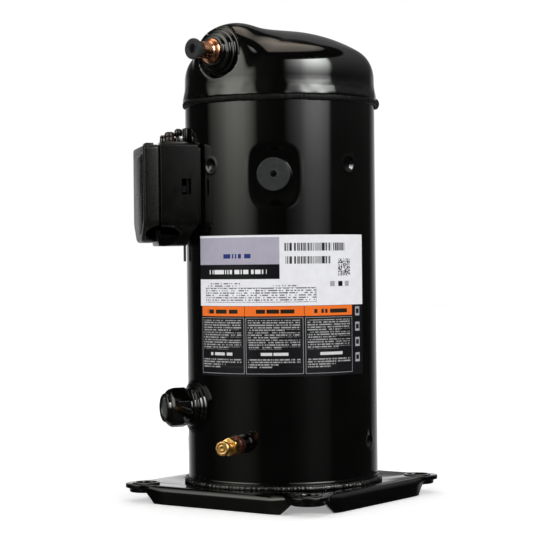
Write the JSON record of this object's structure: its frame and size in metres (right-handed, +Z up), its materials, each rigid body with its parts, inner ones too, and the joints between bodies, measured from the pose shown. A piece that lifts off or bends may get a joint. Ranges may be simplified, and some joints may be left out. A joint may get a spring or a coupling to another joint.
{
  "type": "scroll compressor",
  "caption": "Hermetic scroll compressor with a welded black shell, square foot plate, terminal box, discharge and suction stubs and its motor and scroll set inside.",
  "frame": {"origin": "middle of the bottom cap's flat underside, on the shell's axis and level with the lower edges of the base plate", "axes": "+Z up along the shell's axis; +X and +Y square to the sides of the base plate; the discharge stub points close to -Y"},
  "size_m": [0.2397, 0.2556, 0.4606],
  "materials": {
    "black_paint": "gloss",
    "copper": "satin",
    "brass": "satin",
    "black_rubber": "matte",
    "black_plastic": "satin",
    "machined_steel": "machined",
    "cast_iron": "cast",
    "lamination_steel": "satin",
    "cast_aluminium": "cast",
    "enamelled_winding": "satin",
    "bronze_bush": "satin",
    "sight_glass": "polished",
    "label_film": "satin",
    "seal_polymer": "matte",
    "lead_sleeve": "matte"
  },
  "bodies": {
    "housing": {"center_shell": "black_paint", "top_cap": "black_paint", "bottom_cap": "black_paint", "base_plate": "black_paint", "separator_plate": "machined_steel", "discharge_fitting": "black_paint", "discharge_tube": "copper", "suction_fitting": "black_paint", "sight_glass_collar": "black_paint", "sight_glass_nut": "black_paint", "sight_glass_seal": "seal_polymer", "sight_glass_lens": "sight_glass", "process_tube": "copper", "valve_body": "brass", "terminal_box_base": "black_plastic", "box_retaining_clip": "black_paint", "retaining_screw": "brass", "hermetic_terminal": "machined_steel", "terminal_pin_1": "copper", "terminal_pin_2": "copper", "terminal_pin_3": "copper", "ground_screw": "brass", "fixed_scroll": "cast_iron", "main_bearing_housing": "cast_iron", "main_bearing_bush": "bronze_bush", "stator_core": "lamination_steel", "upper_winding": "enamelled_winding", "lower_winding": "enamelled_winding", "lower_bearing_bracket": "cast_iron", "lower_bearing_bush": "bronze_bush", "thrust_washer": "machined_steel", "valve_retainer": "machined_steel", "relief_valve": "brass", "scroll_bolt_1": "machined_steel", "scroll_bolt_2": "machined_steel", "scroll_bolt_3": "machined_steel", "scroll_bolt_4": "machined_steel", "motor_lead": "lead_sleeve", "rating_label": "label_film"},
    "crank": {"crankshaft": "machined_steel", "drive_bush": "machined_steel", "rotor_core": "lamination_steel", "rotor_end_ring_upper": "cast_aluminium", "rotor_end_ring_lower": "cast_aluminium", "upper_counterweight": "machined_steel", "lower_counterweight": "machined_steel", "oil_pickup": "machined_steel"},
    "orbiter": {"orbiting_scroll": "cast_aluminium", "scroll_bearing": "bronze_bush"},
    "oldham": {"oldham_ring": "machined_steel"},
    "seal": {"floating_seal": "machined_steel"},
    "check_disc": {"discharge_valve_disc": "machined_steel"},
    "box_cover": {"terminal_box_cover": "black_plastic"},
    "terminal_plug": {"terminal_block": "black_plastic"},
    "service_cap": {"valve_cap": "brass"},
    "core_pin": {"valve_core": "brass"},
    "discharge_stopper": {"discharge_plug": "black_rubber"},
    "suction_stopper": {"suction_plug": "black_rubber"}
  },
  "joints": [
    {"name": "crank_spin", "type": "hinge", "parent": "housing", "child": "crank", "pos_m": [0, 0, 0.2], "axis": [0, 0, 1], "continuous": true},
    {"name": "scroll_orbit", "type": "hinge", "parent": "crank", "child": "orbiter", "pos_m": [0.0045, 0, 0.32], "axis": [0, 0, 1], "continuous": true},
    {"name": "oldham_slide", "type": "slide", "parent": "housing", "child": "oldham", "axis": [0, -1, 0], "range_m": [-0.0045, 0.0045]},
    {"name": "seal_lift", "type": "slide", "parent": "housing", "child": "seal", "axis": [0, 0, 1], "range_m": [-0.0015, 0]},
    {"name": "check_lift", "type": "slide", "parent": "housing", "child": "check_disc", "axis": [0, 0, 1], "range_m": [0, 0.003]},
    {"name": "cover_pull", "type": "slide", "parent": "housing", "child": "box_cover", "axis": [-0.6756, -0.7373, 0], "range_m": [0, 0.06]},
    {"name": "plug_pull", "type": "slide", "parent": "housing", "child": "terminal_plug", "axis": [-0.6756, -0.7373, 0], "range_m": [0, 0.012]},
    {"name": "service_cap_off", "type": "slide", "parent": "housing", "child": "service_cap", "axis": [0.225, -0.9744, 0], "range_m": [0, 0.016]},
    {"name": "core_press", "type": "slide", "parent": "housing", "child": "core_pin", "axis": [-0.225, 0.9744, 0], "range_m": [0, 0.0015]},
    {"name": "discharge_stopper_out", "type": "slide", "parent": "housing", "child": "discharge_stopper", "axis": [-0.0785, -0.9969, 0], "range_m": [0, 0.02]},
    {"name": "suction_stopper_out", "type": "slide", "parent": "housing", "child": "suction_stopper", "axis": [0.5225, -0.8526, 0], "range_m": [0, 0.02]}
  ],
  "couplings": [
    {"joint": "scroll_orbit", "follows": "crank_spin", "ratio": -1}
  ]
}
